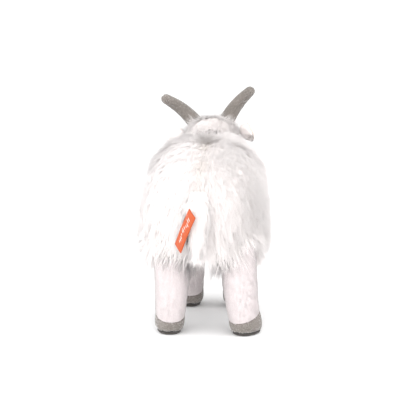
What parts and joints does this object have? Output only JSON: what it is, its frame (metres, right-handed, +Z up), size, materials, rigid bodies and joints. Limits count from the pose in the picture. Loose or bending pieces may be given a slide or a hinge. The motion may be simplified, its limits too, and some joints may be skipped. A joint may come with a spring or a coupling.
{
  "type": "plush goat toy",
  "caption": "Standing plush mountain goat with a shaggy white coat, curved grey horns, soft hooves and a plain ribbon label by its tail.",
  "frame": {"origin": "on the ground, under the middle of the toy's bounding box", "axes": "+Z up, -Y towards the nose, +Y towards the tail, -X towards the goat's right side"},
  "size_m": [0.1432, 0.3309, 0.2603],
  "materials": {
    "long_pile_fur": "matte",
    "short_plush": "matte",
    "grey_plush": "matte",
    "ear_lining": "matte",
    "stuffing": "matte",
    "eye_plastic": "gloss",
    "washer_plastic": "satin",
    "embroidery": "satin",
    "label_ribbon": "satin"
  },
  "bodies": {
    "torso": {"torso_stuffing": "stuffing", "torso_fur_left": "long_pile_fur", "torso_fur_right": "long_pile_fur", "belly_panel": "long_pile_fur"},
    "leg_hind_left": {"leg_hind_left_stuffing": "stuffing", "leg_hind_left_outer": "short_plush", "leg_hind_left_inner": "short_plush", "hoof_hind_left_outer": "grey_plush", "hoof_hind_left_inner": "grey_plush", "hoof_hind_left_sole": "grey_plush"},
    "leg_hind_right": {"leg_hind_right_stuffing": "stuffing", "leg_hind_right_outer": "short_plush", "leg_hind_right_inner": "short_plush", "hoof_hind_right_outer": "grey_plush", "hoof_hind_right_inner": "grey_plush", "hoof_hind_right_sole": "grey_plush"},
    "leg_front_left": {"leg_front_left_stuffing": "stuffing", "leg_front_left_outer": "short_plush", "leg_front_left_inner": "short_plush", "hoof_front_left_outer": "grey_plush", "hoof_front_left_inner": "grey_plush", "hoof_front_left_sole": "grey_plush"},
    "leg_front_right": {"leg_front_right_stuffing": "stuffing", "leg_front_right_outer": "short_plush", "leg_front_right_inner": "short_plush", "hoof_front_right_outer": "grey_plush", "hoof_front_right_inner": "grey_plush", "hoof_front_right_sole": "grey_plush"},
    "neck": {"neck_stuffing": "stuffing", "neck_fur_left": "long_pile_fur", "neck_fur_right": "long_pile_fur"},
    "head": {"head_stuffing": "stuffing", "head_crown_panel": "short_plush", "head_side_left": "short_plush", "head_side_right": "short_plush", "chin_panel": "short_plush", "nose_patch": "embroidery", "mouth_stitch": "embroidery", "beard": "long_pile_fur", "eye_left": "eye_plastic", "eye_right": "eye_plastic", "eye_washer_left": "washer_plastic", "eye_washer_right": "washer_plastic"},
    "horn_left": {"horn_left_stuffing": "stuffing", "horn_left_front": "grey_plush", "horn_left_back": "grey_plush"},
    "horn_right": {"horn_right_stuffing": "stuffing", "horn_right_front": "grey_plush", "horn_right_back": "grey_plush"},
    "ear_left": {"ear_left_outer": "short_plush", "ear_left_lining": "ear_lining"},
    "ear_right": {"ear_right_outer": "short_plush", "ear_right_lining": "ear_lining"},
    "tail": {"tail_fur": "long_pile_fur", "tail_lining": "short_plush"},
    "label": {"label": "label_ribbon"}
  },
  "joints": [
    {"name": "leg_hind_left_swing", "type": "hinge", "parent": "torso", "child": "leg_hind_left", "pos_m": [0.031, 0.089, 0.097], "axis": [1, 0, 0], "range_deg": [-18, 18], "stiffness_Nm_per_rad": 0.6},
    {"name": "leg_hind_right_swing", "type": "hinge", "parent": "torso", "child": "leg_hind_right", "pos_m": [-0.039, 0.089, 0.097], "axis": [1, 0, 0], "range_deg": [-18, 18], "stiffness_Nm_per_rad": 0.6},
    {"name": "leg_front_left_swing", "type": "hinge", "parent": "torso", "child": "leg_front_left", "pos_m": [0.024, -0.031, 0.097], "axis": [1, 0, 0], "range_deg": [-18, 18], "stiffness_Nm_per_rad": 0.6},
    {"name": "leg_front_right_swing", "type": "hinge", "parent": "torso", "child": "leg_front_right", "pos_m": [-0.032, -0.031, 0.097], "axis": [1, 0, 0], "range_deg": [-18, 18], "stiffness_Nm_per_rad": 0.6},
    {"name": "neck_turn", "type": "hinge", "parent": "torso", "child": "neck", "pos_m": [0, -0.045, 0.161], "axis": [0, 0, 1], "range_deg": [-20, 20], "stiffness_Nm_per_rad": 0.5},
    {"name": "head_nod", "type": "hinge", "parent": "neck", "child": "head", "pos_m": [0, -0.084, 0.187], "axis": [1, 0, 0], "range_deg": [-10, 10], "stiffness_Nm_per_rad": 0.5},
    {"name": "horn_left_bend", "type": "hinge", "parent": "head", "child": "horn_left", "pos_m": [0.01818, -0.10331, 0.20886], "axis": [-0.0199, -0.9781, -0.207], "range_deg": [-8, 8], "stiffness_Nm_per_rad": 0.06},
    {"name": "horn_right_bend", "type": "hinge", "parent": "head", "child": "horn_right", "pos_m": [-0.01367, -0.10331, 0.21193], "axis": [-0.0199, -0.9781, -0.207], "range_deg": [-8, 8], "stiffness_Nm_per_rad": 0.06},
    {"name": "ear_left_fold", "type": "hinge", "parent": "head", "child": "ear_left", "pos_m": [0.03738, -0.09268, 0.19541], "axis": [0.4524, 0.3728, -0.8102], "range_deg": [-20, 20], "stiffness_Nm_per_rad": 0.01},
    {"name": "ear_right_fold", "type": "hinge", "parent": "head", "child": "ear_right", "pos_m": [-0.03509, -0.09268, 0.20239], "axis": [0.329, 0.1263, 0.9359], "range_deg": [-20, 20], "stiffness_Nm_per_rad": 0.01},
    {"name": "tail_lift", "type": "hinge", "parent": "torso", "child": "tail", "pos_m": [0, 0.1345, 0.164], "axis": [1, 0, 0], "range_deg": [0, 60], "stiffness_Nm_per_rad": 0.02},
    {"name": "label_flap", "type": "hinge", "parent": "tail", "child": "label", "pos_m": [0.0075, 0.1542, 0.149], "axis": [0.4719, -0.7029, 0.5322], "range_deg": [0, 60], "stiffness_Nm_per_rad": 0.002}
  ]
}
